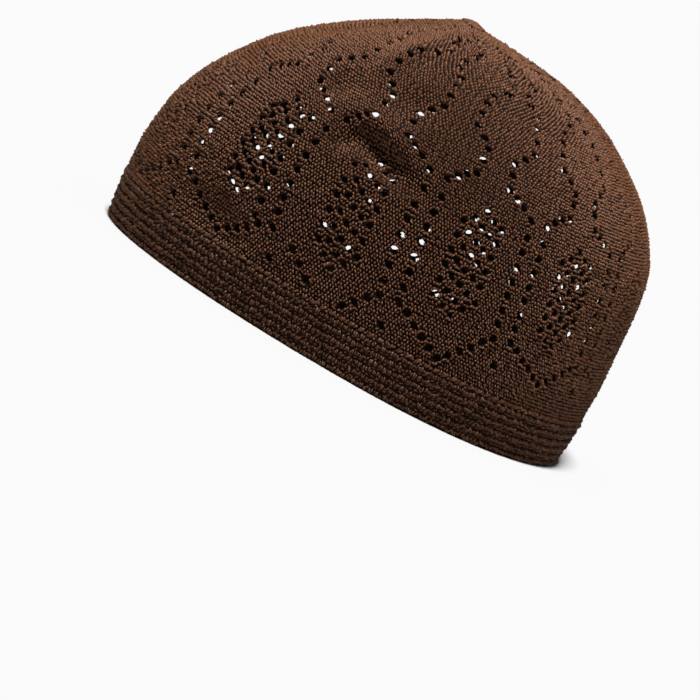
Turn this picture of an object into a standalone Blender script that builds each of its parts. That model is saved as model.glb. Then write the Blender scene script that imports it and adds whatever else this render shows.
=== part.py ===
"""A knit kufi cap standing on its rim: a ribbed band, a pierced crown and its gathered tip.

Metres, +Z up. The forehead side faces -Y and the wearer's left side faces +X. The origin lies in
the plane of the rim, midway between the front and the back.

A place on the knit is given by two shares. Its turn is the way round from the front, 0 to 1, by
length along the round, and its rise is the way up the wall from the rim to the apex, 0 to 1.
"""

import bpy
import numpy as np

# Overall form
CAP_LENGTH = 0.2070
CAP_WIDTH = 0.1590
CAP_HEIGHT = 0.1356
WIDEST_BEHIND_MIDDLE = 0.0190
APEX_BEFORE_MIDDLE = 0.0107

# Walls
CROWN_WALL = 0.0020
BAND_WALL = 0.0026
BAND_HEIGHT = 0.0195
WELT_DEPTH = 0.0009
RIM_ROUND = 0.0005
TIP_RADIUS = 0.0050
TIP_RISE = 0.0009
SEAM_GAP = 0.0003

# Openwork: in each repeat a lone eyelet over the band, then two lines of eyelets above it, with
# solid knit between the two lines and between the eyelets of a line
REPEATS = 12
LINE_EYELETS = 4
EYELET_LENGTH = 0.0026
EYELET_WIDTH = 0.0033
KNIT_BETWEEN_LINES = 0.0053
KNIT_BETWEEN_EYELETS = 0.0098
KNIT_UNDER_LONE_EYELET = 0.0046
KNIT_OVER_LONE_EYELET = 0.0139

# Ribs of the band, and where each welt's crest starts and ends in its own pitch
WELTS = 6
CREST_START = 0.22
CREST_END = 0.62

# Grid: columns and rows of facets, and the share of the plain knit that is finely divided
BAND_COLUMNS = 72
TIP_COLUMNS = 24
FINE_ROWS = 4
FINE_SHARE = 0.2
COARSE_ROWS = 7
SAMPLES = 360
NUDGE = 0.002
TINY = 1e-12

# The knit is stretched over the forehead, and its columns lean as they rise
FOREHEAD_STRETCH = 0.09
PATTERN_TURN = 0.2578
LEAN = -0.061
LEAN_START = 0.13
LEAN_END = 0.50

# How fast the spokes of the rounds draw in from the middle of the cap to the apex
SPOKE_POWER = 1.5

# Level rounds from the rim to the apex: height as a share of CAP_HEIGHT, front and back reach as
# shares of CAP_LENGTH, side reach as a share of CAP_WIDTH
SECTION_COLUMNS = ("height", "front", "back", "side")
SECTIONS = (
    (0.000, 0.485, 0.492, 0.484),
    (0.090, 0.493, 0.498, 0.493),
    (0.230, 0.500, 0.500, 0.500),
    (0.370, 0.491, 0.494, 0.500),
    (0.487, 0.465, 0.488, 0.491),
    (0.605, 0.417, 0.474, 0.467),
    (0.696, 0.369, 0.442, 0.434),
    (0.785, 0.301, 0.391, 0.384),
    (0.855, 0.235, 0.330, 0.328),
    (0.911, 0.172, 0.268, 0.266),
    (0.949, 0.128, 0.205, 0.202),
    (0.973, 0.098, 0.140, 0.132),
    (0.987, 0.080, 0.050, 0.069),
    (0.994, 0.073, -0.028, 0.029),
    (1.000, 0.0517, -0.0517, 0.000),
)

# Folds and dents: the middle's turn and rise, the slant of the long axis from the round in
# degrees, then half length, half breadth and depth inward as shares of CAP_LENGTH; a fold with
# a depth below zero stands out
FOLD_COLUMNS = ("turn", "rise", "slant", "length", "breadth", "depth")
FOLDS = {
    "side_crease": (0.207, 0.437, -14, 0.075, 0.022, 0.024),
    "crease_bend": (0.178, 0.430, 60, 0.026, 0.020, 0.014),
    "roll_over_crease": (0.200, 0.492, -13, 0.070, 0.028, -0.013),
    "dimple_before_roll": (0.138, 0.525, 30, 0.045, 0.036, 0.013),
    "dimple_behind_roll": (0.200, 0.588, 0, 0.040, 0.030, 0.010),
    "ridge_from_tip": (0.140, 0.700, 90, 0.110, 0.028, -0.010),
    "valley_before_tip": (0.030, 0.660, 90, 0.080, 0.036, 0.008),
    "soft_dent_over_band": (0.130, 0.158, -8, 0.085, 0.032, 0.009),
}

# Rows of the tip, from its edge to the apex: share of the way in, and share of TIP_RISE
TIP_SWELL = ((0.0, 0.35), (1 / 3, 0.90), (2 / 3, 1.00))

KNIT_COLOUR = (0.058, 0.031, 0.019, 1.0)
BAND_COLOUR = (0.052, 0.028, 0.017, 1.0)
KNIT_ROUGHNESS = 0.85


def curve_through(places, values, at):
    """Smooth curve through a table's points that never overshoots them."""
    steps = np.diff(places)
    slopes = np.diff(values) / steps
    before, after = slopes[:-1], slopes[1:]
    weight_a = 2 * steps[1:] + steps[:-1]
    weight_b = steps[1:] + 2 * steps[:-1]
    same_way = before * after > 0
    inner = np.zeros(len(before))
    inner[same_way] = (weight_a + weight_b)[same_way] / (
        weight_a[same_way] / before[same_way] + weight_b[same_way] / after[same_way])
    tangents = np.concatenate([slopes[:1], inner, slopes[-1:]])
    span = np.clip(np.searchsorted(places, at) - 1, 0, len(steps) - 1)
    t = (at - places[span]) / steps[span]
    rise_a = (t**3 - 2 * t**2 + t) * steps[span] * tangents[span]
    rise_b = (t**3 - t**2) * steps[span] * tangents[span + 1]
    blend = 3 * t**2 - 2 * t**3
    return values[span] * (1 - blend) + values[span + 1] * blend + rise_a + rise_b


TABLE = {name: np.array(column) for name, column in zip(SECTION_COLUMNS, zip(*SECTIONS))}
HEIGHTS = TABLE["height"] * CAP_HEIGHT
FRONTS = TABLE["front"] * CAP_LENGTH
BACKS = TABLE["back"] * CAP_LENGTH
SIDES = TABLE["side"] * CAP_WIDTH
MEAN_REACHES = (FRONTS + BACKS) / 4 + SIDES / 2
WALL_STEPS = np.hypot(np.diff(MEAN_REACHES), np.diff(HEIGHTS))
WALL_LENGTH = WALL_STEPS.sum()
RISES = np.concatenate([[0.0], np.cumsum(WALL_STEPS)]) / WALL_LENGTH
ANGLES = np.linspace(0, 2 * np.pi, SAMPLES + 1)


def section(rise):
    """Height, front, back and side reach of the round at a rise, and where its spokes meet."""
    reaches = [curve_through(RISES, column, rise) for column in (HEIGHTS, FRONTS, BACKS, SIDES)]
    near_apex = rise ** SPOKE_POWER
    middle = WIDEST_BEHIND_MIDDLE * (1 - near_apex) - APEX_BEFORE_MIDDLE * near_apex
    return (*reaches, middle)


def outline(rise, angles):
    """Points of the round at a rise, for angles about its middle from the front."""
    height, front, back, side, middle = section(rise)
    depth = np.where(np.cos(angles) > 0, front + middle, back - middle)
    across = side * np.sin(angles)
    lengthwise = middle - depth * np.cos(angles)
    return np.stack([across, lengthwise, np.full(angles.shape, height)], -1)


def round_length(rise):
    """Length of the whole round at a rise."""
    return np.linalg.norm(np.diff(outline(rise, ANGLES), axis=0), axis=1).sum()


def base_round(turns, rise):
    """Points of the plain form at one rise, spaced by length along the round."""
    points = outline(rise, ANGLES)
    walked = np.concatenate([[0.0], np.cumsum(np.linalg.norm(np.diff(points, axis=0), axis=1))])
    angles = np.interp(np.mod(turns, 1.0) * walked[-1], walked, ANGLES)
    return outline(rise, angles)


def base_frames(turns, rise):
    """Points of the plain form with the directions along the round, up the wall and outward."""
    low, high = max(rise - NUDGE, 0.0), min(rise + NUDGE, 1.0)
    points = base_round(turns, rise)
    along = base_round(turns + NUDGE, rise) - base_round(turns - NUDGE, rise)
    upward = base_round(turns, high) - base_round(turns, low)
    outward = np.cross(along, upward)
    size = np.linalg.norm(outward, axis=-1, keepdims=True)
    outward = np.where(size > TINY, outward / np.maximum(size, TINY), [0.0, 0.0, 1.0])
    along /= np.maximum(np.linalg.norm(along, axis=-1, keepdims=True), TINY)
    return points, along, np.cross(outward, along), outward


def fold_depth(points):
    """How far the folds push each point of the plain form inward."""
    depth = np.zeros(len(points))
    for row in FOLDS.values():
        fold = dict(zip(FOLD_COLUMNS, row))
        frames = base_frames(np.array([fold["turn"]]), fold["rise"])
        centre, along, upward = (frame[0] for frame in frames[:3])
        slant = np.radians(fold["slant"])
        axis = along * np.cos(slant) + upward * np.sin(slant)
        away = points - centre
        lengthwise = away @ axis
        crosswise_squared = (away * away).sum(-1) - lengthwise**2
        spread = (lengthwise / (fold["length"] * CAP_LENGTH))**2
        spread += crosswise_squared / (fold["breadth"] * CAP_LENGTH)**2
        depth += fold["depth"] * CAP_LENGTH * np.exp(-spread)
    return depth


def knit_turn(column, rise):
    """Turn of a knit column at a rise; columns are shares of the pattern round the cap."""
    turns = np.linspace(-0.5, 1.5, 4 * SAMPLES + 1)
    columns = turns - FOREHEAD_STRETCH * np.sin(2 * np.pi * turns) / (2 * np.pi)
    lean = LEAN * (np.clip(rise, LEAN_START, LEAN_END) - LEAN_START)
    return np.interp(column, columns, turns) + lean


def knit_points(columns, rise, proud=0.0):
    """Points of the folded outer face at one rise, standing proud by a given height."""
    points, _, _, outward = base_frames(knit_turn(columns, rise), rise)
    return points + outward * (proud - fold_depth(points))[:, None]


def make_material(name, colour):
    """Matt yarn in one colour."""
    material = bpy.data.materials.new(name)
    material.use_nodes = True
    shader = material.node_tree.nodes["Principled BSDF"]
    shader.inputs["Base Color"].default_value = colour
    shader.inputs["Roughness"].default_value = KNIT_ROUGHNESS
    shader.inputs["Metallic"].default_value = 0.0
    return material


def add_object(name, points, faces, colour, collection):
    """A smooth mesh object of one material."""
    mesh = bpy.data.meshes.new(name)
    mesh.from_pydata([tuple(point) for point in points], [], faces)
    mesh.materials.append(make_material(name + "_yarn", colour))
    mesh.shade_smooth()
    item = bpy.data.objects.new(name, mesh)
    collection.objects.link(item)
    return item


def thicken(item, wall):
    """Give an open knit face its wall, measured inward."""
    solidify = item.modifiers.new("wall", "SOLIDIFY")
    solidify.thickness = wall
    solidify.offset = -1.0
    solidify.use_even_offset = False
    solidify.use_rim = True


def wall_share(length):
    """A length up the wall as a rise."""
    return length / WALL_LENGTH


def band_top_rise():
    """Rise at which the wall is as high as the band."""
    rises = np.linspace(0, 1, SAMPLES + 1)
    return float(np.interp(BAND_HEIGHT, curve_through(RISES, HEIGHTS, rises), rises))


def crown_rows():
    """Rises of the crown's grid rows, the lone eyelet's row and the rows of the eyelet lines."""
    rows = [band_top_rise() + wall_share(SEAM_GAP)]
    rows.append(rows[-1] + wall_share(KNIT_UNDER_LONE_EYELET))
    lone_row = 1
    rows.append(rows[-1] + wall_share(EYELET_LENGTH))
    rows.append(rows[-1] + wall_share(KNIT_OVER_LONE_EYELET) / 2)
    rows.append(rows[-1] + wall_share(KNIT_OVER_LONE_EYELET) / 2)
    line_rows = []
    for eyelet in range(LINE_EYELETS):
        if eyelet:
            rows.append(rows[-1] + wall_share(KNIT_BETWEEN_EYELETS))
        line_rows.append(len(rows) - 1)
        rows.append(rows[-1] + wall_share(EYELET_LENGTH))
    top = 1.0 - wall_share(TIP_RADIUS + SEAM_GAP)
    fine_top = rows[-1] + (top - rows[-1]) * FINE_SHARE
    rows += list(np.linspace(rows[-1], fine_top, FINE_ROWS + 1)[1:])
    rows += list(np.linspace(fine_top, top, COARSE_ROWS + 1)[1:])
    return rows, lone_row, line_rows


def crown_columns(rise, middle_width):
    """Column edges round the crown, and how many there are in one repeat."""
    share = 1.0 / round_length(rise)
    inner = middle_width / 2 * share
    outer = (KNIT_BETWEEN_LINES / 2 + EYELET_WIDTH) * share
    half_repeat = 0.5 / REPEATS
    flank = (outer + half_repeat) / 2
    offsets = [-half_repeat, -flank, -outer, -inner, inner, outer, flank]
    middles = PATTERN_TURN + np.arange(REPEATS) / REPEATS
    return (middles[:, None] + offsets).ravel(), len(offsets)


def make_crown(collection):
    """Pierced crown: an open grid with its eyelet cells left out, then given its wall."""
    rows, lone_row, line_rows = crown_rows()
    line_columns, per_repeat = crown_columns(rows[line_rows[0]], KNIT_BETWEEN_LINES)
    lone_columns, per_repeat = crown_columns(rows[line_rows[0]], EYELET_WIDTH)
    left_line, between_lines, right_line = 2, 3, 4
    points = []
    for row, rise in enumerate(rows):
        round_the_lone = row in (lone_row, lone_row + 1)
        points.append(knit_points(lone_columns if round_the_lone else line_columns, rise))
    points = np.concatenate(points)
    count = len(line_columns)
    faces = []
    for row in range(len(rows) - 1):
        for column in range(count):
            place = column % per_repeat
            lone = row == lone_row and place == between_lines
            paired = row in line_rows and place in (left_line, right_line)
            if lone or paired:
                continue
            right = (column + 1) % count
            faces.append((row * count + column, row * count + right,
                          (row + 1) * count + right, (row + 1) * count + column))
    crown = add_object("crown", points, faces, KNIT_COLOUR, collection)
    thicken(crown, CROWN_WALL)


def make_tip(collection):
    """Gathered tip: the last rounds drawn together, standing a little proud of the crown."""
    edge = 1.0 - wall_share(TIP_RADIUS)
    columns = np.linspace(0, 1, TIP_COLUMNS, endpoint=False)
    rounds = []
    for inward, share in TIP_SWELL:
        rounds.append(knit_points(columns, edge + (1.0 - edge) * inward, TIP_RISE * share))
    points = np.concatenate(rounds)
    peak = knit_points(np.array([0.0]), 1.0, TIP_RISE)
    faces = []
    for row in range(len(rounds) - 1):
        for column in range(TIP_COLUMNS):
            right = (column + 1) % TIP_COLUMNS
            faces.append((row * TIP_COLUMNS + column, row * TIP_COLUMNS + right,
                          (row + 1) * TIP_COLUMNS + right, (row + 1) * TIP_COLUMNS + column))
    last = (len(rounds) - 1) * TIP_COLUMNS
    for column in range(TIP_COLUMNS):
        faces.append((last + column, last + (column + 1) % TIP_COLUMNS, len(points)))
    tip = add_object("gathered_tip", np.concatenate([points, peak]), faces, KNIT_COLOUR, collection)
    thicken(tip, CROWN_WALL)


def band_profile():
    """Closed outline of the band's wall: height up from the rim and distance out, underside first."""
    pitch = BAND_HEIGHT / WELTS
    profile = [(0.0, RIM_ROUND - BAND_WALL), (0.0, -RIM_ROUND)]
    for welt in range(WELTS):
        profile.append((pitch * (welt + CREST_START), 0.0))
        profile.append((pitch * (welt + CREST_END), 0.0))
        if welt < WELTS - 1:
            profile.append((pitch * (welt + 1.0), -WELT_DEPTH))
    profile += [(BAND_HEIGHT, -WELT_DEPTH / 2), (BAND_HEIGHT, -BAND_WALL)]
    profile += [(BAND_HEIGHT / 2, -BAND_WALL), (RIM_ROUND, -BAND_WALL)]
    return profile


def make_band(collection):
    """Ribbed band: a closed ring whose outline follows the welts, flat under the rim."""
    columns = np.linspace(0, 1, BAND_COLUMNS, endpoint=False)
    rises = np.linspace(0, 1, SAMPLES + 1)
    heights = curve_through(RISES, HEIGHTS, rises)
    profile = band_profile()
    points = []
    for height, out in profile:
        rise = float(np.interp(height, heights, rises))
        base, _, _, outward = base_frames(knit_turn(columns, rise), rise)
        level = outward * [1.0, 1.0, 0.0]
        level /= np.linalg.norm(level, axis=-1, keepdims=True)
        ring = base + level * (out - fold_depth(base))[:, None]
        ring[:, 2] = height
        points.append(ring)
    count = len(profile)
    faces = []
    for row in range(count):
        above = (row + 1) % count
        for column in range(BAND_COLUMNS):
            right = (column + 1) % BAND_COLUMNS
            faces.append((row * BAND_COLUMNS + column, row * BAND_COLUMNS + right,
                          above * BAND_COLUMNS + right, above * BAND_COLUMNS + column))
    add_object("band", np.concatenate(points), faces, BAND_COLOUR, collection)


def build():
    """Model the cap in a fresh collection."""
    for item in list(bpy.data.objects):
        bpy.data.objects.remove(item, do_unlink=True)
    collection = bpy.data.collections.new("knit_kufi_cap")
    bpy.context.scene.collection.children.link(collection)
    make_band(collection)
    make_crown(collection)
    make_tip(collection)


build()
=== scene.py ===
import math

import bpy
import numpy as np
from mathutils import Matrix, Vector


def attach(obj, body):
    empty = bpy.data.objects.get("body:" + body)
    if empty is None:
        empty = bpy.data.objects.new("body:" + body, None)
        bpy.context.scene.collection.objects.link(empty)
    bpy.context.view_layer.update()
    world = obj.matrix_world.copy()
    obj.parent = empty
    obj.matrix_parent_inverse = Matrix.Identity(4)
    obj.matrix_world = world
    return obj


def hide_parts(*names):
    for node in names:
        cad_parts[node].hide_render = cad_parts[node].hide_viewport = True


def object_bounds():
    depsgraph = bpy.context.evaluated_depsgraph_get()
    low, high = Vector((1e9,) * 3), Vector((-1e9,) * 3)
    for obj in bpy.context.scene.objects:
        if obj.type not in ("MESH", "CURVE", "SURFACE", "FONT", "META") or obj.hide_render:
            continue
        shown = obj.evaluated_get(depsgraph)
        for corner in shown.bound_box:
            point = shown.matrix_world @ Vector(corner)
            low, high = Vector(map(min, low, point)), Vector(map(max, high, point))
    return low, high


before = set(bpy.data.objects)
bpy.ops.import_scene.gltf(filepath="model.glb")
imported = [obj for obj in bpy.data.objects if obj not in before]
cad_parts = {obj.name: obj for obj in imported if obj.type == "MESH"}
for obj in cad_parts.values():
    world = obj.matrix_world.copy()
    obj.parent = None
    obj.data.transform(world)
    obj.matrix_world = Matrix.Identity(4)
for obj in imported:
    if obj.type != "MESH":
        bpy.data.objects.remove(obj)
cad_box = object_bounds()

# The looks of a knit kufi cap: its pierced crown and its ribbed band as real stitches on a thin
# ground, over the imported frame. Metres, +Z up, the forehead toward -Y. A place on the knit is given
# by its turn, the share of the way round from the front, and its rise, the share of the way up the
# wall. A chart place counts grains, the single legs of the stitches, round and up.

# Overall form, as in the part's source
CAP_LENGTH = 0.2070
CAP_WIDTH = 0.1590
CAP_HEIGHT = 0.1356
WIDEST_BEHIND_MIDDLE = 0.0190
APEX_BEFORE_MIDDLE = 0.0107
BAND_HEIGHT = 0.0195
BAND_WALL = 0.0026
WELTS = 6
WELT_DEPTH = 0.0009
TIP_RADIUS = 0.0050
TIP_RISE = 0.0004
FOREHEAD_STRETCH = 0.09
PATTERN_TURN = 0.2594
LEAN = -0.061
LEAN_START = 0.13
LEAN_END = 0.50
SPOKE_POWER = 1.5

# The knit spreads on the left side, where it was pulled, in one wave once and one twice round the
# cap. At each rise: how strongly it spreads, and how far it turns
SPREAD_MIDDLE = 0.263
SPREAD_ONCE_ROUND = 0.4
SPREAD_TWICE_ROUND = 0.3
SPREAD_COLUMNS = ("rise", "spread", "shift")
SPREADS = (
    (0.00, 0.045, -0.0022),
    (0.44, 0.045, -0.0022),
    (0.54, 0.140, -0.0087),
    (0.66, 0.260, -0.0145),
    (0.72, 0.320, -0.0131),
    (0.80, 0.360, -0.0040),
    (0.90, 0.360, -0.0040),
    (1.00, 0.000, -0.0069),
)

# The lowest tier is pulled up or down as it goes round: share of the round from the front, either
# way, and how far it rises there. The pull fades out toward the top
PULLED_SHARES = (0.177, 0.198, 0.219, 0.240, 0.260, 0.302, 0.323, 0.344, 0.385)
PULLED_RISES = (0.0, -0.005, -0.026, -0.014, -0.002, 0.002, 0.016, 0.031, 0.040)
PULL_TOP = 0.56
PULL_REACH = 0.40
# One leaf sags into the dent below the crease: its share and rise, their reaches, and the drop
SAG_SHARE, SAG_SHARE_REACH = 0.2177, 0.028
SAG_RISE, SAG_RISE_REACH = 0.300, 0.120
SAG_DROP = 0.020
# The folds moved one double line and one leaf round the cap: the repeat and how far in repeats,
# and for the leaf the share of its breadth that is left
MOVED_LINES = {11: -0.125}
MOVED_LEAVES = {10: (0.065, 0.8)}

# Sections of the plain form, as shares of the cap's height, length, length and width
SECTION_COLUMNS = ("height", "front", "back", "side")
SECTIONS = (
    (0.000, 0.485, 0.492, 0.484),
    (0.090, 0.493, 0.498, 0.493),
    (0.230, 0.500, 0.500, 0.500),
    (0.370, 0.491, 0.494, 0.500),
    (0.487, 0.465, 0.488, 0.491),
    (0.605, 0.417, 0.474, 0.467),
    (0.696, 0.369, 0.442, 0.434),
    (0.785, 0.301, 0.391, 0.384),
    (0.855, 0.235, 0.330, 0.328),
    (0.911, 0.172, 0.268, 0.266),
    (0.949, 0.128, 0.205, 0.202),
    (0.973, 0.098, 0.140, 0.132),
    (0.987, 0.080, 0.050, 0.069),
    (0.994, 0.073, -0.028, 0.029),
    (1.000, 0.0517, -0.0517, 0.000),
)
# Folds: turn and rise of the middle, slant in degrees, and sizes as shares of the cap's length
FOLD_COLUMNS = ("turn", "rise", "slant", "length", "breadth", "depth")
FOLDS = {
    "side_crease": (0.207, 0.437, -14, 0.075, 0.022, 0.024),
    "crease_bend": (0.178, 0.430, 60, 0.026, 0.020, 0.014),
    "roll_over_crease": (0.200, 0.492, -13, 0.070, 0.028, -0.013),
    "dimple_before_roll": (0.138, 0.525, 30, 0.045, 0.036, 0.013),
    "dimple_behind_roll": (0.200, 0.588, 0, 0.040, 0.030, 0.010),
    "ridge_from_tip": (0.140, 0.700, 90, 0.110, 0.028, -0.010),
    "valley_before_tip": (0.030, 0.660, 90, 0.080, 0.036, 0.008),
    "soft_dent_over_band": (0.130, 0.158, -8, 0.085, 0.032, 0.009),
}

# The knit: repeats of the pattern, grains in one repeat, the length of wall one round takes, how
# deep its ground lies and how thick it is, and the gap that the solids leave between each other
REPEATS = 12
GRAINS = 36
ROUND_PITCH = 0.00135
GROUND_DEPTH = 0.00115
GROUND_WALL = 0.0009
JOIN_GAP = 0.0003

# Eyelets of the lowest tier, in one repeat. The openwork leaf, its foot and the border below it:
# chart columns of three grains from the leaf's middle, and rises. Then the rises of the double
# line between two leaves, and of the lone eyelet under it
LEAF = {
    0: (0.2490, 0.2820, 0.3130, 0.3440, 0.3750, 0.4080, 0.4420),
    -1: (0.2600, 0.2910, 0.3230, 0.3540, 0.3850, 0.4195),
    1: (0.2370, 0.2705, 0.3040, 0.3350, 0.3645, 0.3970, 0.4280),
    -2: (0.2450, 0.2750, 0.3070, 0.3395, 0.3705, 0.4040),
    2: (0.2580, 0.2910, 0.3240, 0.3560, 0.3870, 0.4195),
}
LEAF_FOOT = {0: 0.2190, -1: 0.2293}
BORDER = {0: 0.128, 1: 0.140, 2: 0.153, 3: 0.167, 4: 0.183}
LINE_RISES = (0.195, 0.2265, 0.258, 0.2905, 0.322, 0.356, 0.389, 0.4245)
LONE_RISE = 0.138
COLUMNS_IN_REPEAT = 12

# The second and third tiers, and the eyelet that closes a repeat: repeats from the middle of a
# double line, and rise
SECOND_TIER = ((0.083, 0.4645), (0.175, 0.483), (0.248, 0.496), (0.328, 0.507), (0.348, 0.542),
               (0.355, 0.571), (0.280, 0.593), (0.185, 0.614), (0.180, 0.6485), (0.190, 0.682),
               (0.210, 0.712))
THIRD_TIER = ((0.332, 0.740), (0.378, 0.770), (0.266, 0.8035), (0.286, 0.829), (0.350, 0.857),
              (0.420, 0.885))
CLOSING = ((0.5, 0.910),)
# Eyelets: half sizes, the shares of them at the corners of the outline, the sizes of the smaller
# kinds, and the rounds between the crown's foot and the lowest ones
EYELET_HALF_WIDTH = 0.00195
EYELET_HALF_HEIGHT = 0.00160
EYELET_CORNER = (0.62, 0.682)
LEAF_EYELET = 0.85
SMALL_EYELET = 0.65
EYELET_CLEARANCE = 2.6
# The net is pulled toward the eyelets: the grains it reaches, how it fades, and what holds it
PULL_STEPS = 4
PULL_FADE = 3.0
HOLD_WEIGHT = 0.35

# Points round a section and in two look-up tables, the step that finds a fold's directions, and
# the least length that anything is divided by
SAMPLES = 720
TURN_STEPS = 2161
RISE_STEPS = 361
FOLD_PROBE = 0.002
TINY = 1e-12

# Yarn colours, linear. The grounds are the yarn deep between the stitches, painted dark as shade
YARN = (0.098, 0.036, 0.0132, 1.0)
YARN_DARK = (0.070, 0.033, 0.018, 1.0)
# painted shade: the crown's ground is near-black, so that the pits between the grains read as shadow
GROUND_PAINTED_SHADE = (0.005, 0.002, 0.001, 1.0)
# painted shade: the band's ground, dark in the pits between its knobs
BAND_GROUND_PAINTED_SHADE = (0.016, 0.007, 0.004, 1.0)
# painted shade: the band's yarn is the crown's yarn darkened, as the lower wall gets less light
BAND_PAINTED_SHADE = 0.80

SEED = 7
rng = np.random.default_rng(SEED)


def curve_through(places, values, at):
    """Smooth curve through a table's points that never overshoots them."""
    steps = np.diff(places)
    slopes = np.diff(values) / steps
    before, after = slopes[:-1], slopes[1:]
    weight_a = 2 * steps[1:] + steps[:-1]
    weight_b = steps[1:] + 2 * steps[:-1]
    same_way = before * after > 0
    inner = np.zeros(len(before))
    inner[same_way] = (weight_a + weight_b)[same_way] / (
        weight_a[same_way] / before[same_way] + weight_b[same_way] / after[same_way])
    tangents = np.concatenate([slopes[:1], inner, slopes[-1:]])
    span = np.clip(np.searchsorted(places, at) - 1, 0, len(steps) - 1)
    t = (at - places[span]) / steps[span]
    rise_a = (t**3 - 2 * t**2 + t) * steps[span] * tangents[span]
    rise_b = (t**3 - t**2) * steps[span] * tangents[span + 1]
    blend = 3 * t**2 - 2 * t**3
    return values[span] * (1 - blend) + values[span + 1] * blend + rise_a + rise_b


TABLE = {name: np.array(column) for name, column in zip(SECTION_COLUMNS, zip(*SECTIONS))}
HEIGHTS = TABLE["height"] * CAP_HEIGHT
FRONTS = TABLE["front"] * CAP_LENGTH
BACKS = TABLE["back"] * CAP_LENGTH
SIDES = TABLE["side"] * CAP_WIDTH
SPREAD = {name: np.array(column) for name, column in zip(SPREAD_COLUMNS, zip(*SPREADS))}
MEAN_REACHES = (FRONTS + BACKS) / 4 + SIDES / 2
WALL_STEPS = np.hypot(np.diff(MEAN_REACHES), np.diff(HEIGHTS))
WALL_LENGTH = WALL_STEPS.sum()
RISES = np.concatenate([[0.0], np.cumsum(WALL_STEPS)]) / WALL_LENGTH
ANGLES = np.linspace(0, 2 * np.pi, SAMPLES + 1)


def section(rise):
    """Height, front, back and side reach of the round at a rise, and where its spokes meet."""
    reaches = [curve_through(RISES, column, rise) for column in (HEIGHTS, FRONTS, BACKS, SIDES)]
    near_apex = rise ** SPOKE_POWER
    middle = WIDEST_BEHIND_MIDDLE * (1 - near_apex) - APEX_BEFORE_MIDDLE * near_apex
    return (*reaches, middle)


def outline(rise, angles):
    """Points of the round at a rise, for angles about its middle from the front."""
    height, front, back, side, middle = section(rise)
    depth = np.where(np.cos(angles) > 0, front + middle, back - middle)
    across = side * np.sin(angles)
    lengthwise = middle - depth * np.cos(angles)
    return np.stack([across, lengthwise, np.full(angles.shape, height)], -1)


def base_round(turns, rise):
    """Points of the plain form at one rise, spaced by length along the round."""
    points = outline(rise, ANGLES)
    walked = np.concatenate([[0.0], np.cumsum(np.linalg.norm(np.diff(points, axis=0), axis=1))])
    angles = np.interp(np.mod(turns, 1.0) * walked[-1], walked, ANGLES)
    return outline(rise, angles)


def normals_of(points):
    """Outward directions of a net of points, rows up the wall and columns round it."""
    along = np.roll(points, -1, axis=1) - np.roll(points, 1, axis=1)
    upward = np.gradient(points, axis=0)
    outward = np.cross(along, upward)
    size = np.linalg.norm(outward, axis=-1, keepdims=True)
    return np.where(size > TINY, outward / np.maximum(size, TINY), [0.0, 0.0, 1.0])


def fold_depth(points):
    """How far the folds push each point of the plain form inward."""
    depth = np.zeros(points.shape[:-1])
    for row in FOLDS.values():
        fold = dict(zip(FOLD_COLUMNS, row))
        centre = base_round(np.array([fold["turn"]]), fold["rise"])[0]
        beside = base_round(np.array([fold["turn"] + FOLD_PROBE]), fold["rise"])[0]
        above = base_round(np.array([fold["turn"]]), fold["rise"] + FOLD_PROBE)[0]
        along = (beside - centre) / np.linalg.norm(beside - centre)
        upward = above - centre
        upward -= along * (upward @ along)
        upward /= np.linalg.norm(upward)
        slant = math.radians(fold["slant"])
        axis = along * math.cos(slant) + upward * math.sin(slant)
        away = points - centre
        lengthwise = away @ axis
        crosswise_squared = (away * away).sum(-1) - lengthwise**2
        spread = (lengthwise / (fold["length"] * CAP_LENGTH))**2
        spread += crosswise_squared / (fold["breadth"] * CAP_LENGTH)**2
        depth += fold["depth"] * CAP_LENGTH * np.exp(-spread)
    return depth


# The folded outer face as a fine net that every stitch is placed on
NET_ROWS = 481
NET_COLUMNS = 1440
NET_TOP_RISE = 0.9995
NET_RISES = np.linspace(0, NET_TOP_RISE, NET_ROWS)
NET_TURNS = np.arange(NET_COLUMNS) / NET_COLUMNS
plain_net = np.stack([base_round(NET_TURNS, rise) for rise in NET_RISES])
plain_outward = normals_of(plain_net)
FACE = plain_net - plain_outward * fold_depth(plain_net)[..., None]
FACE_OUT = normals_of(FACE)


def blend_net(net, columns, rows):
    """Values of a net that closes round, at whole and part columns and rows."""
    left = np.floor(columns).astype(int)
    across = (columns - left)[..., None]
    low = np.clip(np.floor(rows).astype(int), 0, net.shape[0] - 2)
    up = (rows - low)[..., None]
    left = left % net.shape[1]
    right = (left + 1) % net.shape[1]
    lower = net[low, left] * (1 - across) + net[low, right] * across
    upper = net[low + 1, left] * (1 - across) + net[low + 1, right] * across
    return lower * (1 - up) + upper * up


def on_net(net, turns, rises):
    """Values of the fine net at turns and rises."""
    rows = np.clip(rises / NET_TOP_RISE, 0, 1) * (NET_ROWS - 1)
    return blend_net(net, np.mod(turns, 1.0) * NET_COLUMNS, rows)


def knit_turn(column, rise):
    """Turn of a knit column at a rise; columns are shares of the pattern round the cap."""
    turns = np.linspace(-1.0, 2.0, TURN_STEPS)
    columns = turns - FOREHEAD_STRETCH * np.sin(2 * np.pi * turns) / (2 * np.pi)
    lean = LEAN * (np.clip(rise, LEAN_START, LEAN_END) - LEAN_START)
    turn = np.interp(column, columns, turns) + lean
    away = 2 * np.pi * (turn - SPREAD_MIDDLE)
    wave = SPREAD_ONCE_ROUND * np.sin(away) + SPREAD_TWICE_ROUND * np.sin(2 * away)
    spread = np.interp(rise, SPREAD["rise"], SPREAD["spread"])
    shift = np.interp(rise, SPREAD["rise"], SPREAD["shift"])
    return turn + shift + spread * wave / (2 * np.pi)


def knit_place(column, rise):
    """Point and outward direction of the folded outer face at a knit column and rise."""
    turns = knit_turn(column, rise)
    return on_net(FACE, turns, rise), on_net(FACE_OUT, turns, rise)


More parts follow.
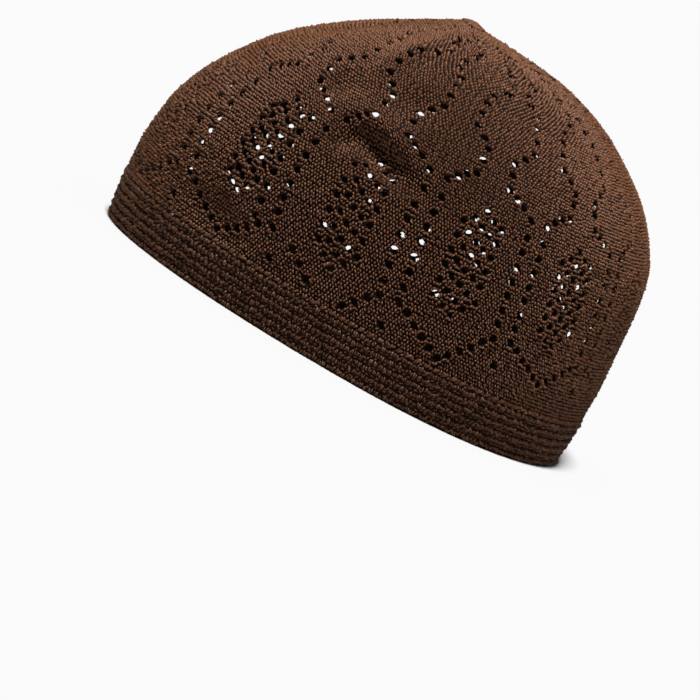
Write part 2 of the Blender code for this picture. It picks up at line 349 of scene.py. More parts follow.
def band_top_rise():
    """Rise at which the wall is as high as the band."""
    rises = np.linspace(0, 1, RISE_STEPS)
    return float(np.interp(BAND_HEIGHT, curve_through(RISES, HEIGHTS, rises), rises))


def eyelets():
    """Every eyelet: knit column counted in repeats, rise and size."""
    found = []
    for repeat in range(REPEATS):
        line = PATTERN_TURN * REPEATS + repeat
        leaf = line + 0.5
        moved_line = line + MOVED_LINES.get(repeat, 0.0)
        leaf_move, leaf_breadth = MOVED_LEAVES.get(repeat, (0.0, 1.0))
        moved_leaf = leaf + leaf_move
        leaf_column = leaf_breadth / COLUMNS_IN_REPEAT
        found.append((line, LONE_RISE, 1.0))
        for side in (-1, 1):
            for rise in LINE_RISES:
                found.append((moved_line + side / COLUMNS_IN_REPEAT, rise, 1.0))
            for away, rise in BORDER.items():
                if away or side > 0:
                    found.append((leaf + side * away / COLUMNS_IN_REPEAT, rise, 1.0))
            for away, rise in SECOND_TIER + THIRD_TIER:
                found.append((line + side * away, rise, 1.0))
        for column, rises in LEAF.items():
            for rise in rises:
                found.append((moved_leaf + column * leaf_column, rise, LEAF_EYELET))
        for column, rise in LEAF_FOOT.items():
            found.append((moved_leaf + column * leaf_column, rise, SMALL_EYELET))
        for away, rise in CLOSING:
            found.append((line + away, rise, 1.0))
    found = np.array(found)
    share = np.mod(found[:, 0] / REPEATS, 1.0)
    pulled = np.interp(np.minimum(share, 1 - share), PULLED_SHARES, PULLED_RISES)
    from_sag = ((share - SAG_SHARE) / SAG_SHARE_REACH)**2
    from_sag += ((found[:, 1] - SAG_RISE) / SAG_RISE_REACH)**2
    found[:, 1] += pulled * np.clip((PULL_TOP - found[:, 1]) / PULL_REACH, 0, 1)
    found[:, 1] -= SAG_DROP * np.exp(-from_sag)
    return found[found[:, 1] > CROWN_FOOT + EYELET_CLEARANCE * ROUND_RISE]


# Rounds of the crown, and the chart's net of grains
CROWN_FOOT = band_top_rise() + JOIN_GAP / WALL_LENGTH
CROWN_TOP = 1.0 - (TIP_RADIUS + JOIN_GAP) / WALL_LENGTH
ROUNDS = int(round((CROWN_TOP - CROWN_FOOT) * WALL_LENGTH / ROUND_PITCH))
ROUND_RISE = (CROWN_TOP - CROWN_FOOT) / ROUNDS
COLUMNS = REPEATS * GRAINS


def round_lengths(rises):
    """Length of the whole round at each rise."""
    lengths = np.linalg.norm(np.diff(plain_net, axis=1, append=plain_net[:, :1]), axis=-1).sum(1)
    return np.interp(rises, NET_RISES, lengths)


def near_eyelets(column_index, row_index, reach):
    """Steps down and across from the eyelets, which of them have a point there, and its place."""
    for down in range(-reach, reach + 1):
        for across in range(-reach, reach + 1):
            rows = row_index + down
            inside = (rows >= 0) & (rows <= ROUNDS)
            yield down, across, inside, (rows[inside], (column_index[inside] + across) % COLUMNS)


def pulled_points(column_index, row_index, off_column, off_row):
    """Moves that bring each eyelet's own point to its true place, and the points near it partly."""
    shift = np.zeros((ROUNDS + 1, COLUMNS, 2))
    weight = np.full((ROUNDS + 1, COLUMNS), HOLD_WEIGHT)
    for down, across, inside, where in near_eyelets(column_index, row_index, PULL_STEPS):
        near = math.exp(-(down**2 + across**2) / PULL_FADE)
        np.add.at(shift[..., 0], where, near * off_column[inside])
        np.add.at(shift[..., 1], where, near * off_row[inside])
        np.add.at(weight, where, near)
    shift /= weight[..., None]
    shift[row_index, column_index] = np.stack([off_column, off_row], -1)
    return shift


def opened_points(column_index, row_index, off_column, off_row, sizes, lengths):
    """Which points lie round an eyelet, and their moves onto its outline."""
    moved = np.zeros((ROUNDS + 1, COLUMNS, 2))
    count = np.zeros((ROUNDS + 1, COLUMNS))
    for down, across, inside, where in near_eyelets(column_index, row_index, 1):
        if not down and not across:
            continue
        share_wide, share_tall = EYELET_CORNER if down and across else (1.0, 1.0)
        wide = EYELET_HALF_WIDTH * sizes * share_wide / lengths * COLUMNS
        tall = EYELET_HALF_HEIGHT * sizes * share_tall / WALL_LENGTH / ROUND_RISE
        np.add.at(moved[..., 0], where, (off_column + across * wide - across)[inside])
        np.add.at(moved[..., 1], where, (off_row + down * tall - down)[inside])
        np.add.at(count, where, 1.0)
    touched = count > 0
    return touched, moved[touched] / count[touched][:, None]


def crown_chart():
    """Column and rise of each point of the crown's net, drawn round the eyelets, and open cells."""
    rises = CROWN_FOOT + ROUND_RISE * np.arange(ROUNDS + 1)
    columns = PATTERN_TURN + np.arange(COLUMNS) / COLUMNS
    column_net, rise_net = np.meshgrid(columns, rises)
    hole_columns, hole_rises, hole_sizes = eyelets().T
    shares = hole_columns / REPEATS - PATTERN_TURN
    column_index = np.mod(np.round(shares * COLUMNS), COLUMNS).astype(int)
    row_index = np.round((hole_rises - CROWN_FOOT) / ROUND_RISE).astype(int)
    row_index = np.clip(row_index, 1, ROUNDS - 1)
    off_column = (np.mod(shares - column_index / COLUMNS + 0.5, 1.0) - 0.5) * COLUMNS
    off_row = (hole_rises - CROWN_FOOT) / ROUND_RISE - row_index
    moves = pulled_points(column_index, row_index, off_column, off_row)
    touched, onto_outline = opened_points(
        column_index, row_index, off_column, off_row, hole_sizes, round_lengths(hole_rises))
    moves[touched] = onto_outline
    column_net = column_net + moves[..., 0] / COLUMNS
    rise_net = np.clip(rise_net + moves[..., 1] * ROUND_RISE, CROWN_FOOT, CROWN_TOP)
    # the lowest round reaches down over the gap, to the band
    rise_net[0] = CROWN_FOOT - JOIN_GAP / WALL_LENGTH
    rise_net[-1] = CROWN_TOP
    open_cells = np.zeros((ROUNDS, COLUMNS), bool)
    for down in (-1, 0):
        for across in (-1, 0):
            rows = np.clip(row_index + down, 0, ROUNDS - 1)
            open_cells[rows, (column_index + across) % COLUMNS] = True
    return column_net, rise_net, open_cells


def mesh_object(name, points, faces, material, replaced=()):
    """A smooth mesh piece that rides on the body. Faces are one array of triangles or quads."""
    mesh = bpy.data.meshes.new(name)
    corners = faces.shape[1]
    mesh.vertices.add(len(points))
    mesh.vertices.foreach_set("co", np.ascontiguousarray(points, dtype=np.float32).ravel())
    mesh.loops.add(faces.size)
    mesh.loops.foreach_set("vertex_index", np.ascontiguousarray(faces, dtype=np.int32).ravel())
    mesh.polygons.add(len(faces))
    mesh.polygons.foreach_set("loop_start", np.arange(0, faces.size, corners, dtype=np.int32))
    mesh.update(calc_edges=True)
    mesh.validate()
    mesh.materials.append(material)
    mesh.shade_smooth()
    item = bpy.data.objects.new(name, mesh)
    bpy.context.scene.collection.objects.link(item)
    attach(item, "root")
    if replaced:
        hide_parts(*replaced)
    return item


def net_faces(rows, columns, keep=None):
    """Quads of a net that closes round, without the cells left open."""
    row, column = np.meshgrid(np.arange(rows - 1), np.arange(columns), indexing="ij")
    if keep is not None:
        row, column = row[keep], column[keep]
    row, column = row.ravel(), column.ravel()
    right = (column + 1) % columns
    return np.stack([row * columns + column, row * columns + right,
                     (row + 1) * columns + right, (row + 1) * columns + column], -1)


def add_wall(item, thickness):
    """A wall of even thickness under the face of a piece."""
    wall = item.modifiers.new("wall", "SOLIDIFY")
    wall.thickness = thickness
    wall.offset = -1.0
    return wall


# One grain: arches along its length between two tips, open underneath. Each arch has its place as
# a share of the half length, and its girth. Its height falls off toward the tips, and its edges
# sink into the ground by a share of what the tips do
GRAIN_STATIONS = (-0.62, 0.0, 0.62)
GRAIN_GIRTH = (0.80, 1.0, 0.80)
GRAIN_FALL = 0.25
GRAIN_EDGE_SINK = 0.6
GRAIN_POINTS = 2 + 3 * len(GRAIN_STATIONS)
# A grain's directions are taken between half a step either way, and no higher than just under the
# net's last row
FRAME_STEP = 0.5
ROW_MARGIN = 0.001
# A crown grain fills its room: the room it is drawn for, and the least and most that it grows
GRAIN_SPACING = 0.00133
WIDTH_GROWTH = (0.85, 1.60)
LENGTH_GROWTH = (1.0, 2.2)


def grain_faces():
    """Triangles of one grain: first tip, three arches of three points, last tip."""
    last = GRAIN_POINTS - 1
    faces = []
    for side in (0, 1):
        faces.append((0, 1 + side, 2 + side))
        for arch in (0, 1):
            a = 1 + 3 * arch + side
            faces.append((a, a + 3, a + 1))
            faces.append((a + 1, a + 3, a + 4))
        faces.append((last, last - 2 + side, last - 3 + side))
    return np.array(faces)


def grain_frames(net, out_net, columns, rows):
    """Middle, outward, round and upward directions, and the net's pitch both ways, per grain."""
    centre = blend_net(net, columns, rows)
    out = blend_net(out_net, columns, rows)
    out /= np.linalg.norm(out, axis=-1, keepdims=True)
    right = blend_net(net, columns + FRAME_STEP, rows)
    along = right - blend_net(net, columns - FRAME_STEP, rows)
    top = np.minimum(rows + FRAME_STEP, net.shape[0] - 1 - ROW_MARGIN)
    low = np.maximum(rows - FRAME_STEP, 0)
    upward = blend_net(net, columns, top) - blend_net(net, columns, low)
    width_here = np.linalg.norm(along, axis=-1)
    height_here = np.linalg.norm(upward, axis=-1)
    along /= np.maximum(width_here, TINY)[:, None]
    upward -= out * (upward * out).sum(-1, keepdims=True)
    upward /= np.maximum(np.linalg.norm(upward, axis=-1, keepdims=True), TINY)
    return centre, out, along, upward, width_here, height_here


def grains(net, out_net, columns, rows, leans, lengths, widths, heights, bends, sinks, apart=None):
    """Vertices and triangles of many grains laid on a net; sizes in metres, one or one each.
    With apart, the columns from grain to grain, each also grows with the room it has there."""
    rows, lengths, widths, heights, bends, sinks = (
        np.broadcast_to(value, columns.shape)
        for value in (rows, lengths, widths, heights, bends, sinks))
    centre, out, along, upward, width_here, height_here = grain_frames(net, out_net, columns, rows)
    axis = upward * np.cos(leans)[:, None] + along * np.sin(leans)[:, None]
    side = np.cross(axis, out)
    side /= np.maximum(np.linalg.norm(side, axis=-1, keepdims=True), TINY)
    if apart is not None:
        wider = np.clip(width_here * apart / GRAIN_SPACING, *WIDTH_GROWTH)
        widths = widths * wider
        lengths = lengths * np.clip(height_here / ROUND_PITCH, *LENGTH_GROWTH)
        heights = heights * np.sqrt(wider)
    half = lengths / 2
    edge_down = out * (sinks * GRAIN_EDGE_SINK)[:, None]
    parts = [centre - axis * half[:, None] - out * sinks[:, None]]
    for station, girth in zip(GRAIN_STATIONS, GRAIN_GIRTH):
        bend = bends * (1 - station**2)
        middle = centre + axis * (half * station)[:, None] + side * bend[:, None]
        reach = side * (widths / 2 * girth)[:, None]
        lift = heights * girth * (1 - GRAIN_FALL * station**2)
        parts += [middle - reach - edge_down, middle + out * lift[:, None],
                  middle + reach - edge_down]
    parts.append(centre + axis * half[:, None] - out * sinks[:, None])
    points = np.stack(parts, 1)
    faces = grain_faces()[None] + (np.arange(len(columns)) * GRAIN_POINTS)[:, None, None]
    return points.reshape(-1, 3), faces.reshape(-1, 3)


# Materials. Stops are a place on the ramp and how much lighter or darker the colour is there
PLY_SCALE = 900.0
PLY_DETAIL = 3.0
PLY_STOPS = ((0.32, 0.55), (0.52, 1.0), (0.70, 1.55))
FIBRE_SCALE = 3500.0
FIBRE_BUMP = 0.5
FIBRE_DEPTH = 0.00012
YARN_ROUGHNESS = 0.45
YARN_GLOSS = 0.22
YARN_SHEEN = 0.02
YARN_SHEEN_ROUGHNESS = 0.4
GROUND_SCALE = 700.0
GROUND_STOPS = ((0.3, 0.6), (0.7, 1.5))
GROUND_ROUGHNESS = 0.9
GROUND_GLOSS = 0.1
INSIDE_SCALE = 620.0
# painted shade and light: darker in the hollows between the wrong side's bumps, lighter on their
# crests
INSIDE_PAINTED_SHADE_STOPS = ((0.15, 1.2), (0.5, 1.0), (0.85, 0.3))
INSIDE_BUMP = 0.8
INSIDE_DEPTH = 0.0006
INSIDE_ROUGHNESS = 0.8
INSIDE_GLOSS = 0.2


def shader_of(name, roughness, gloss):
    """A new node material, its tree and its surface shader."""
    material = bpy.data.materials.new(name)
    material.use_nodes = True
    shader = material.node_tree.nodes["Principled BSDF"]
    shader.inputs["Roughness"].default_value = roughness
    shader.inputs["Specular IOR Level"].default_value = gloss
    return material, material.node_tree, shader


def texture(tree, kind, scale):
    """A texture node over the object's own coordinates."""
    place = tree.nodes.new("ShaderNodeTexCoord")
    node = tree.nodes.new(kind)
    node.inputs["Scale"].default_value = scale
    tree.links.new(place.outputs["Object"], node.inputs["Vector"])
    return node


def noise(tree, scale, detail=2.0):
    """Value of a noise texture."""
    node = texture(tree, "ShaderNodeTexNoise", scale)
    node.inputs["Detail"].default_value = detail
    return node.outputs["Fac"]


def shade(colour, factor):
    """A colour made lighter or darker."""
    return (colour[0] * factor, colour[1] * factor, colour[2] * factor, 1.0)


def ramp(tree, fac, colour, stops):
    """A colour made lighter and darker along a value."""
    node = tree.nodes.new("ShaderNodeValToRGB")
    elements = node.color_ramp.elements
    while len(elements) < len(stops):
        elements.new(0.5)
    for element, (position, factor) in zip(elements, stops):
        element.position = position
        element.color = shade(colour, factor)
    tree.links.new(fac, node.inputs["Fac"])
    return node.outputs["Color"]


def bump(tree, shader, height, strength, distance):
    """Bump from a height value onto a shader."""
    node = tree.nodes.new("ShaderNodeBump")
    node.inputs["Strength"].default_value = strength
    node.inputs["Distance"].default_value = distance
    tree.links.new(height, node.inputs["Height"])
    tree.links.new(node.outputs["Normal"], shader.inputs["Normal"])


def yarn_material(name, colour):
    """Spun yarn: a colour that varies from ply to ply, with fine fibres as bump."""
    material, tree, shader = shader_of(name, YARN_ROUGHNESS, YARN_GLOSS)
    plies = noise(tree, PLY_SCALE, PLY_DETAIL)
    tree.links.new(ramp(tree, plies, colour, PLY_STOPS), shader.inputs["Base Color"])
    shader.inputs["Sheen Weight"].default_value = YARN_SHEEN
    shader.inputs["Sheen Roughness"].default_value = YARN_SHEEN_ROUGHNESS
    bump(tree, shader, noise(tree, FIBRE_SCALE), FIBRE_BUMP, FIBRE_DEPTH)
    return material


def painted_shade_material(name, colour):
    """Painted shade for the depth between the stitches: a dark colour, mottled at random."""
    material, tree, shader = shader_of(name, GROUND_ROUGHNESS, GROUND_GLOSS)
    mottling = noise(tree, GROUND_SCALE)
    tree.links.new(ramp(tree, mottling, colour, GROUND_STOPS), shader.inputs["Base Color"])
    return material


def inside_material(name, colour):
    """The wrong side of the knit: soft bumps of yarn at stitch size, with painted shade in the
    hollows between them and painted light on their crests.
    """
    material, tree, shader = shader_of(name, INSIDE_ROUGHNESS, INSIDE_GLOSS)
    distance = texture(tree, "ShaderNodeTexVoronoi", INSIDE_SCALE).outputs["Distance"]
    tree.links.new(ramp(tree, distance, colour, INSIDE_PAINTED_SHADE_STOPS), shader.inputs["Base Color"])
    invert = tree.nodes.new("ShaderNodeMath")
    invert.operation = "SUBTRACT"
    invert.inputs[0].default_value = 1.0
    tree.links.new(distance, invert.inputs[1])
    bump(tree, shader, invert.outputs[0], INSIDE_BUMP, INSIDE_DEPTH)
    return material


crown_yarn = yarn_material("crown_yarn", YARN)
# painted shade: the band's yarn is the crown's yarn darkened
band_yarn = yarn_material("band_yarn", shade(YARN, BAND_PAINTED_SHADE))
# painted shade: the crown's ground, dark where the depth between the grains lies in shadow
crown_ground_painted_shade = painted_shade_material("crown_ground_painted_shade", GROUND_PAINTED_SHADE)
# painted shade: the band's ground, dark in the pits between the knobs
band_ground_painted_shade = painted_shade_material("band_ground_painted_shade", BAND_GROUND_PAINTED_SHADE)
# painted shade in the hollows of the wrong side, painted light on its bumps' crests
inside_yarn_painted_shade = inside_material("inside_yarn_painted_shade", YARN_DARK)

# Crown: its ground with real eyelets, coloured near-black as painted shade, and its wrong side
column_net, rise_net, open_cells = crown_chart()
face_points, face_out = knit_place(column_net, rise_net)
face_out /= np.linalg.norm(face_out, axis=-1, keepdims=True)
crown_net = face_points - face_out * GROUND_DEPTH
crown_faces = net_faces(ROUNDS + 1, COLUMNS, ~open_cells)
ground_piece = mesh_object("crown_ground_painted_shade", crown_net.reshape(-1, 3), crown_faces, crown_ground_painted_shade,
                           ("crown",))
ground_piece.data.materials.append(inside_yarn_painted_shade)
mesh_object("crown_inside", (crown_net - face_out * GROUND_WALL).reshape(-1, 3),
            crown_faces[:, ::-1], inside_yarn_painted_shade)
# only the eyelets' edges, which join the ground to the wrong side
wall = add_wall(ground_piece, GROUND_WALL)
wall.use_even_offset = False
wall.use_rim = True
wall.use_rim_only = True
wall.material_offset_rim = 1

# Grains of the crown: their sizes and leans, and how far they vary
GRAIN_LENGTH = 0.00140
GRAIN_WIDTH = 0.00088
GRAIN_HEIGHT = 0.00102
GRAIN_SINK = 0.00020
GRAIN_BEND = 0.00008
RIGHT_LEAN = math.radians(12)
LEFT_LEAN = math.radians(-36)
CORD_LEAN = math.radians(62)
EDGE_GRAIN_SIZE = 1.08
GRAIN_SIZE_SPREAD = 0.07
GRAIN_HEIGHT_SPREAD = 0.12
GRAIN_LEAN_SPREAD = math.radians(20)
GRAIN_COLUMN_SPREAD = 0.09
GRAIN_ROW_SPREAD = 0.08
GRAIN_BEND_SPREAD = 0.00006
GRAIN_END_ROOM = 0.35
PIECE_GRAINS = 15500
# Fewer go round as the rounds close: a share of the widest round, and the grains in a repeat on
# the rounds that are at least as long
GRAINS_BY_SHARE = ((0.80, 36), (0.60, 27), (0.40, 18), (0.25, 12), (0.14, 6), (0.0, 3))


def grain_places():
    """Column and row of each crown grain, 1 for a right leg or 0, and the columns from the next."""
    widest = round_lengths(NET_RISES).max()
    found = []
    for round_index in range(ROUNDS):
        row = round_index + 0.5
        share = round_lengths(CROWN_FOOT + ROUND_RISE * row) / widest
        per_repeat = next(count for least, count in GRAINS_BY_SHARE if share >= least)
        count = per_repeat * REPEATS
        index = np.arange(count)
        columns = (index + 0.5 * (round_index % 2)) * COLUMNS / count
        kept = ~open_cells[round_index, np.floor(columns).astype(int) % COLUMNS]
        legs = [columns, np.full(count, row), index % 2, np.full(count, COLUMNS / count)]
        found.append(np.stack(legs, -1)[kept])
    return np.concatenate(found)


grain_columns, grain_rows, right_leg, grains_apart = grain_places().T
cell_column = np.floor(grain_columns).astype(int) % COLUMNS
cell_row = np.floor(grain_rows).astype(int)
above = open_cells[np.minimum(cell_row + 1, ROUNDS - 1), cell_column]
below = open_cells[np.maximum(cell_row - 1, 0), cell_column]
beside = open_cells[cell_row, (cell_column + 1) % COLUMNS] | open_cells[cell_row, cell_column - 1]
total = len(grain_columns)
leans = np.where(right_leg > 0, RIGHT_LEAN, LEFT_LEAN)
leans = np.where(above | below, CORD_LEAN, leans)
leans += rng.normal(0, GRAIN_LEAN_SPREAD, total)
size = 1 + rng.normal(0, GRAIN_SIZE_SPREAD, total)
size = np.where(above | below | beside, size * EDGE_GRAIN_SIZE, size)
heights = GRAIN_HEIGHT * size * (1 + rng.normal(0, GRAIN_HEIGHT_SPREAD, total))
grain_columns = grain_columns + rng.normal(0, GRAIN_COLUMN_SPREAD, total)
grain_rows = grain_rows + rng.normal(0, GRAIN_ROW_SPREAD, total)
grain_rows = np.clip(grain_rows, GRAIN_END_ROOM, ROUNDS - GRAIN_END_ROOM)
bends = rng.normal(GRAIN_BEND, GRAIN_BEND_SPREAD, total) * np.where(right_leg > 0, 1, -1)
points, faces = grains(
    crown_net, face_out, grain_columns, grain_rows, leans, GRAIN_LENGTH * size,
    GRAIN_WIDTH * size, heights, bends, GRAIN_SINK, grains_apart)
grain_triangles = len(grain_faces())
for number, start in enumerate(range(0, total, PIECE_GRAINS), 1):
    stop = min(start + PIECE_GRAINS, total)
    block = faces[start * grain_triangles:stop * grain_triangles] - start * GRAIN_POINTS
    mesh_object(f"crown_stitches_{number}", points[start * GRAIN_POINTS:stop * GRAIN_POINTS],
                block, crown_yarn)

# Band: a closed ring whose outline follows the welts. At the rim, its inner and outer edges are cut
# off, by a distance along the rim's face and a height up the wall
BAND_COLUMNS = 216
WELT_POINTS = 6
BAND_GROUND_DEPTH = 0.0002
RIM_INNER_CUT = 0.0004
RIM_INNER_RISE = 0.0005
RIM_OUTER_CUT = 0.0011
RIM_OUTER_RISE = 0.0003
welt_pitch = BAND_HEIGHT / WELTS


def band_out(height):
    """How far out the band's ground stands at a height, between its welts' crests and grooves."""
    phase = np.mod(height / welt_pitch, 1.0)
    return -WELT_DEPTH * (0.5 + 0.5 * np.cos(2 * np.pi * phase)) - BAND_GROUND_DEPTH


def height_rise(height):
    """Rise of a height on the steep lower wall."""
    return np.interp(height, curve_through(RISES, HEIGHTS, NET_RISES), NET_RISES)


def band_place(columns, heights, out):
    """Points of the band at knit columns, heights and a distance out, and their level outward."""
    points, outward = knit_place(columns, height_rise(heights))
    level = outward * [1.0, 1.0, 0.0]
    level /= np.linalg.norm(level, axis=-1, keepdims=True)
    points = points + level * out
    points[..., 2] = heights
    return points, level


outer_heights = np.linspace(RIM_OUTER_RISE, BAND_HEIGHT, WELTS * WELT_POINTS + 1)
inner_heights = (BAND_HEIGHT, BAND_HEIGHT / 2, RIM_INNER_RISE)
profile = [(0.0, RIM_INNER_CUT - BAND_WALL), (0.0, -RIM_OUTER_CUT)]
profile += [(height, float(band_out(height))) for height in outer_heights]
profile += [(height, -BAND_WALL) for height in inner_heights]
columns = np.arange(BAND_COLUMNS) / BAND_COLUMNS
rings = [band_place(columns, np.full(BAND_COLUMNS, height), out)[0] for height, out in profile]
band_faces = net_faces(len(profile) + 1, BAND_COLUMNS) % (len(profile) * BAND_COLUMNS)
# its outer face carries the painted shade between the knobs, its inner face the wrong side
band_piece = mesh_object("band_ground_painted_shade", np.concatenate(rings), band_faces, band_ground_painted_shade,
                         ("band",))
band_piece.data.materials.append(inside_yarn_painted_shade)
slots = np.zeros(len(band_faces), dtype=np.int32)
slots[(len(profile) - len(inner_heights)) * BAND_COLUMNS:] = 1
band_piece.data.polygons.foreach_set("material_index", slots)

# Knobs of the band: two legs to each purl of a welt, and one knob lying in each groove
KNOBS = 24 * REPEATS
KNOB_LENGTH = 0.0021
KNOB_WIDTH = 0.00122
KNOB_HEIGHT = 0.00122
KNOB_LEAN = math.radians(16)
KNOB_SINK = 0.0003
KNOB_BEND = 0.00012
KNOB_DEPTH = 0.0007
LEG_OFFSET = 0.24
LEG_ROW = 0.46
GROOVE_KNOB_SIZE = 0.82
KNOB_SIZE_SPREAD = 0.10
KNOB_HEIGHT_SPREAD = 0.10
KNOB_LEAN_SPREAD = math.radians(26)
KNOB_COLUMN_SPREAD = 0.07
KNOB_ROW_SPREAD = 0.17
RIM_CLEARANCE = 0.00005
BAND_NET_ROWS = 14
BAND_NET_MARGIN = 0.0004
band_net_heights = np.linspace(0.0, BAND_HEIGHT + BAND_NET_MARGIN, BAND_NET_ROWS)
net_columns, net_heights = np.meshgrid(np.arange(KNOBS) / KNOBS, band_net_heights)
band_net, band_level = band_place(net_columns, net_heights, -KNOB_DEPTH)
rows_per_welt = welt_pitch * ((BAND_NET_ROWS - 1) / band_net_heights[-1])
# each line of knobs: its row in welts, its offset in knobs, and the lean and size of its knobs
knob_lines = []
for welt in range(WELTS + 1):
    stagger = 0.5 * (welt % 2)
    if welt < WELTS:
        for side in (-1, 1):
            offset = stagger + side * LEG_OFFSET
            knob_lines.append((welt + LEG_ROW, offset, -side * KNOB_LEAN, 1.0))
    if welt:
        knob_lines.append((welt, stagger + 0.5, math.pi / 2 - KNOB_LEAN, GROOVE_KNOB_SIZE))
line_rows, offsets, knob_leans, knob_sizes = np.repeat(knob_lines, KNOBS, axis=0).T
total = len(line_rows)
size = knob_sizes * (1 + rng.normal(0, KNOB_SIZE_SPREAD, total))
knob_columns = np.tile(np.arange(KNOBS), len(knob_lines)) + offsets
knob_columns = knob_columns + rng.normal(0, KNOB_COLUMN_SPREAD, total)
knob_rows = line_rows * rows_per_welt + rng.normal(0, KNOB_ROW_SPREAD, total)
bends = -np.sign(knob_leans) * KNOB_BEND
knob_leans = knob_leans + rng.normal(0, KNOB_LEAN_SPREAD, total)
heights = KNOB_HEIGHT * size * (1 + rng.normal(0, KNOB_HEIGHT_SPREAD, total))
points, faces = grains(
    band_net, band_level, knob_columns, knob_rows, knob_leans, KNOB_LENGTH * size,
    KNOB_WIDTH * size, heights, bends, KNOB_SINK)
points[:, 2] = np.maximum(points[:, 2], RIM_CLEARANCE)
# the knobs take the band's yarn, darkened as painted shade
mesh_object("band_stitches", points, faces, band_yarn)

# The row of larger slanted stitches where the crown was picked up from the band
SEAM_STITCHES = 12 * REPEATS
SEAM_ROW = 0.30
SEAM_LENGTH = 0.0037
SEAM_WIDTH = 0.0018
SEAM_HEIGHT = 0.00150
SEAM_LEAN = math.radians(64)
SEAM_SIZE_SPREAD = 0.08
SEAM_LEAN_SPREAD = math.radians(8)
STITCH_BEND = 0.0001
STITCH_SINK = 0.0002
size = 1 + rng.normal(0, SEAM_SIZE_SPREAD, SEAM_STITCHES)
seam_leans = SEAM_LEAN + rng.normal(0, SEAM_LEAN_SPREAD, SEAM_STITCHES)
seam_columns = (np.arange(SEAM_STITCHES) + 0.5) * COLUMNS / SEAM_STITCHES
points, faces = grains(
    crown_net, face_out, seam_columns, SEAM_ROW, seam_leans, SEAM_LENGTH * size,
    SEAM_WIDTH * size, SEAM_HEIGHT * size, STITCH_BEND, STITCH_SINK)
# the seam's stitches take the band's yarn, darkened as painted shade
mesh_object("seam_stitches", points, faces, band_yarn)

# Gathered tip: the last rounds drawn together into a low pleated nub
TIP_COLUMNS = 48
TIP_ROWS = 10
TIP_PLEATS = 12
TIP_WALL = 0.0015
TIP_TOP_RISE = 0.9994
TIP_INMOST = 0.999
SWELL_START = 0.15
SWELL_RATE = 1.6
PLEAT_DEPTH = 0.00022
TIP_STITCH_ROWS = (1.2, 3.2, 5.2, 7.2)
TIP_STITCH_WIDTHS = (0.0013, 0.0011, 0.0009, 0.0007)
TIP_STITCH_LENGTH = 0.0022
TIP_STITCH_HEIGHT = 0.0005
TIP_LEAN = math.radians(18)
TIP_LEAN_SPREAD = math.radians(10)
tip_edge = 1.0 - TIP_RADIUS / WALL_LENGTH
inward = np.linspace(0, TIP_INMOST, TIP_ROWS)
tip_columns, tip_inward = np.meshgrid(np.arange(TIP_COLUMNS) / TIP_COLUMNS, inward)
tip_points, tip_out = knit_place(tip_columns, tip_edge + (TIP_TOP_RISE - tip_edge) * tip_inward)
swell = TIP_RISE * np.sin(np.clip(tip_inward * SWELL_RATE + SWELL_START, 0, math.pi / 2))
pleats = PLEAT_DEPTH * np.cos(tip_columns * 2 * np.pi * TIP_PLEATS) * (1 - tip_inward)
tip_points = tip_points + tip_out * (swell + pleats)[..., None]
tip_piece = mesh_object("tip_ground", tip_points.reshape(-1, 3), net_faces(TIP_ROWS, TIP_COLUMNS),
                        crown_yarn, ("gathered_tip",))
add_wall(tip_piece, TIP_WALL)
pleat_columns = (np.arange(TIP_PLEATS) + 0.5) * TIP_COLUMNS / TIP_PLEATS
stitch_columns = np.tile(pleat_columns, len(TIP_STITCH_ROWS))
tip_leans = TIP_LEAN + rng.normal(0, TIP_LEAN_SPREAD, len(stitch_columns))
points, faces = grains(
    tip_points, tip_out, stitch_columns, np.repeat(TIP_STITCH_ROWS, TIP_PLEATS), tip_leans,
    TIP_STITCH_LENGTH, np.repeat(TIP_STITCH_WIDTHS, TIP_PLEATS), TIP_STITCH_HEIGHT,
    STITCH_BEND, STITCH_SINK)
mesh_object("tip_stitches", points, faces, crown_yarn)

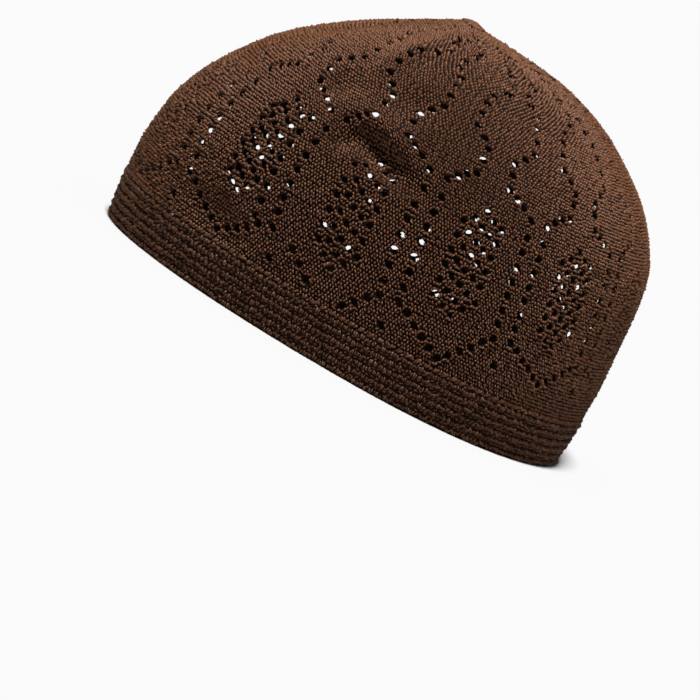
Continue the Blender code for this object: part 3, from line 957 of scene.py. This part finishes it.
# Floor
FLOOR_REACH = 40.0
FLOOR_COLOUR = (0.40, 0.40, 0.40, 1.0)
FLOOR_ROUGHNESS = 0.9
corners = np.array([(-1, -1, 0), (1, -1, 0), (1, 1, 0), (-1, 1, 0)]) * FLOOR_REACH
corners[:, 2] = cad_box[0].z
floor_mesh = bpy.data.meshes.new("floor")
floor_mesh.from_pydata([tuple(corner) for corner in corners], [], [(0, 1, 2, 3)])
floor = bpy.data.objects.new("floor", floor_mesh)
bpy.context.scene.collection.objects.link(floor)
floor_paint, _, floor_shader = shader_of("floor_paint", FLOOR_ROUGHNESS, 0.0)
floor_shader.inputs["Base Color"].default_value = FLOOR_COLOUR
floor_mesh.materials.append(floor_paint)

bpy.context.scene.view_settings.view_transform = "Standard"

# Light: a soft key from high above and a little to the camera's side, a weak fill from that side,
# and an even pale surround. Each sun: where it shines from, its strength, its spread in degrees
SUNS = {
    "key": ((0.26, -0.08, 1.00), 7.5, 12),
    "fill": ((1.0, 0.2, 0.35), 0.10, 60),
}
SURROUND_COLOUR = (1.0, 1.0, 1.0, 1.0)
SURROUND_STRENGTH = 0.09
world = bpy.data.worlds.new("studio")
bpy.context.scene.world = world
world.use_nodes = True
surround = world.node_tree.nodes["Background"]
surround.inputs["Color"].default_value = SURROUND_COLOUR
surround.inputs["Strength"].default_value = SURROUND_STRENGTH
for name, (direction, strength, spread) in SUNS.items():
    data = bpy.data.lights.new(name, "SUN")
    data.energy = strength
    data.angle = math.radians(spread)
    lamp = bpy.data.objects.new(name, data)
    lamp.rotation_mode = "QUATERNION"
    lamp.rotation_quaternion = Vector(direction).to_track_quat("Z", "Y")
    bpy.context.scene.collection.objects.link(lamp)

# Camera, rolled as in the photograph; it looks along the cap's width from the wearer's left
DISTANCE = 1.5
ELEVATION = math.radians(9.2)
ROLL = math.radians(29.4)
AIM_BEHIND = 0.00965
AIM_DOWN = 0.00138
LENS_MM = 194.6
SENSOR_MM = 36.0
back = Vector((math.cos(ELEVATION), 0, math.sin(ELEVATION)))
level_axis = Vector((0, 1, 0))
rising_axis = back.cross(level_axis)
camera_x = level_axis * math.cos(ROLL) + rising_axis * math.sin(ROLL)
camera_y = rising_axis * math.cos(ROLL) - level_axis * math.sin(ROLL)
camera_data = bpy.data.cameras.new("camera")
camera_data.lens = LENS_MM
camera_data.sensor_width = SENSOR_MM
camera = bpy.data.objects.new("camera", camera_data)
aim = level_axis * AIM_BEHIND - rising_axis * AIM_DOWN
pose = Matrix((camera_x, camera_y, back)).transposed().to_4x4()
pose.translation = aim + back * DISTANCE
camera.matrix_world = pose
bpy.context.scene.collection.objects.link(camera)
bpy.context.scene.camera = camera
